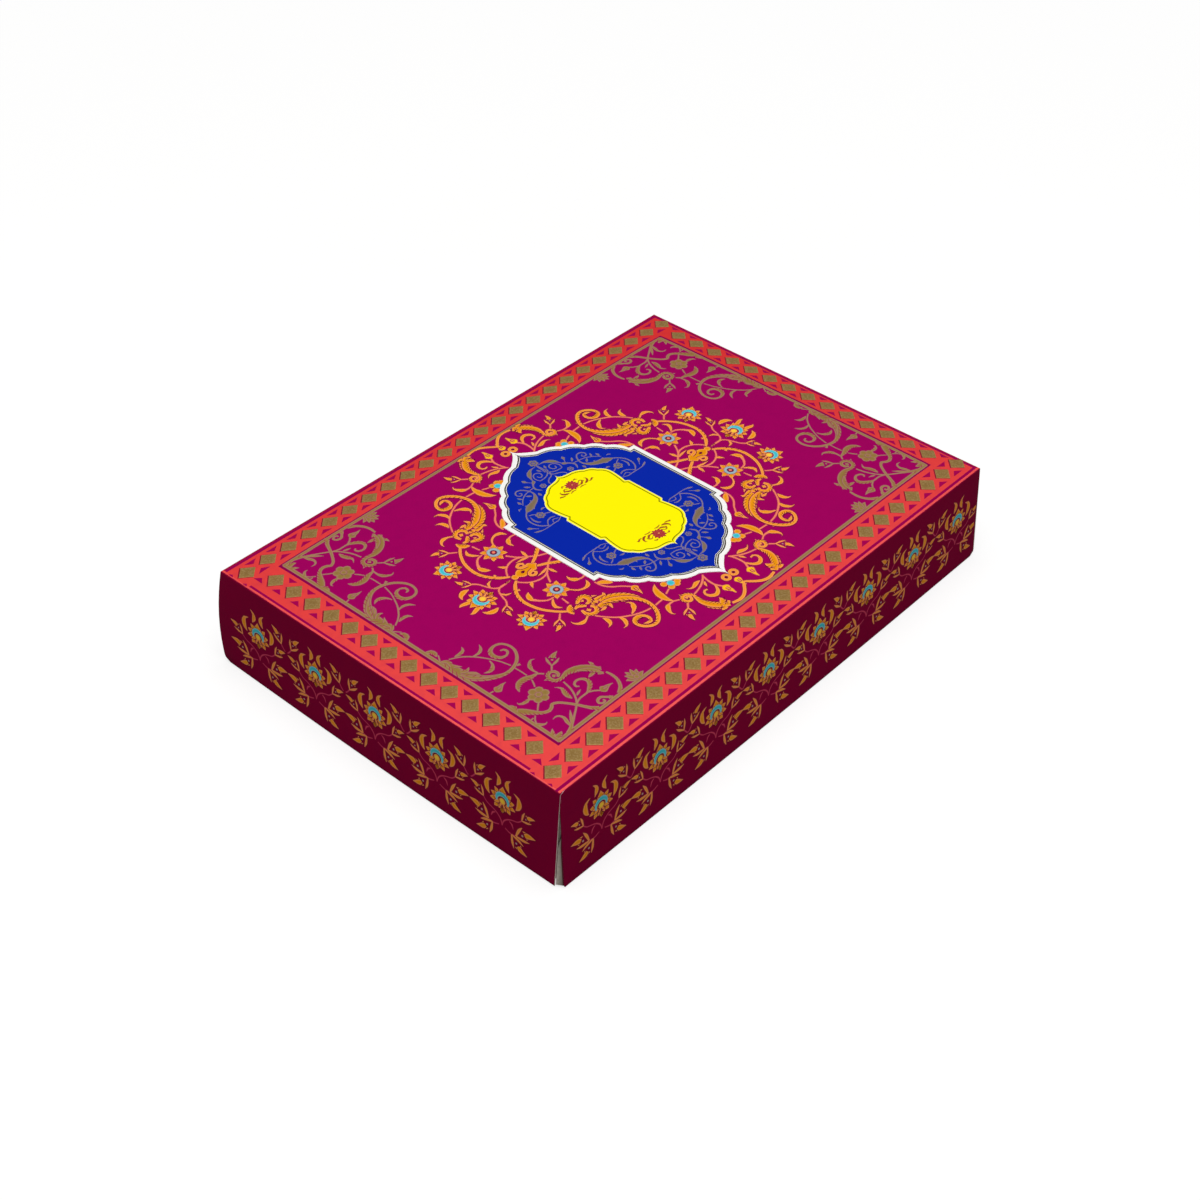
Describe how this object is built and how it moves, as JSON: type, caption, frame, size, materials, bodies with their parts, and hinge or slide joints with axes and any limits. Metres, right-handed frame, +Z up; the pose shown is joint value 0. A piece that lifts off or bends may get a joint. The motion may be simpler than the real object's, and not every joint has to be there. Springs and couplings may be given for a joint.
{
  "type": "sweet box",
  "caption": "Two-piece folding carton for sweets: a printed lid with floral ornament and labels over a plain white tray with dividers and a liner.",
  "frame": {"origin": "centre of the footprint, on the surface that the tray stands on", "axes": "+X along the long side, to the right when the label's foot faces the viewer; -Y is the front; +Z up"},
  "size_m": [0.2582, 0.1812, 0.0481],
  "materials": {
    "printed_lid": "offset-printed coated carton board, satin varnish",
    "lid_tab_board": "unprinted carton board",
    "cartouche_print": "printed paper label, royal blue with a white edge",
    "name_label_print": "printed paper label, yellow",
    "tray_board": "white-faced carton board",
    "tray_tab_board": "grey-backed carton board",
    "greaseproof": "greaseproof paper",
    "divider_board": "white carton board"
  },
  "bodies": {
    "tray": {"tray_floor": "tray_board", "tray_front_wall": "tray_board", "tray_back_wall": "tray_board", "tray_left_wall": "tray_board", "tray_right_wall": "tray_board", "tray_tab_front_left": "tray_tab_board", "tray_tab_front_right": "tray_tab_board", "tray_tab_back_left": "tray_tab_board", "tray_tab_back_right": "tray_tab_board", "liner_sheet": "greaseproof"},
    "insert": {"divider_long": "divider_board", "divider_cross_left": "divider_board", "divider_cross_middle": "divider_board", "divider_cross_right": "divider_board"},
    "lid": {"lid_top_panel": "printed_lid", "cartouche_label": "cartouche_print", "name_label": "name_label_print"},
    "lid_front": {"lid_front_wall": "printed_lid", "lid_tab_front_left": "lid_tab_board", "lid_tab_front_right": "lid_tab_board"},
    "lid_back": {"lid_back_wall": "printed_lid", "lid_tab_back_left": "lid_tab_board", "lid_tab_back_right": "lid_tab_board"},
    "lid_left": {"lid_left_wall": "printed_lid"},
    "lid_right": {"lid_right_wall": "printed_lid"}
  },
  "joints": [
    {"name": "insert_lift", "type": "slide", "parent": "tray", "child": "insert", "axis": [0, 0, 1], "range_m": [0, 0.052]},
    {"name": "lid_lift", "type": "slide", "parent": "insert", "child": "lid", "axis": [0, 0, 1], "range_m": [0, 0.06]},
    {"name": "front_wall_fold", "type": "hinge", "parent": "lid", "child": "lid_front", "pos_m": [0, -0.0885, 0.0455], "axis": [-1, 0, 0], "range_deg": [-2.7, 87.3]},
    {"name": "back_wall_fold", "type": "hinge", "parent": "lid", "child": "lid_back", "pos_m": [0, 0.0885, 0.0455], "axis": [1, 0, 0], "range_deg": [-2.7, 87.3]},
    {"name": "left_wall_fold", "type": "hinge", "parent": "lid", "child": "lid_left", "pos_m": [-0.127, 0, 0.0455], "axis": [0, 1, 0], "range_deg": [-2.7, 87.3]},
    {"name": "right_wall_fold", "type": "hinge", "parent": "lid", "child": "lid_right", "pos_m": [0.127, 0, 0.0455], "axis": [0, -1, 0], "range_deg": [-2.7, 87.3]}
  ]
}
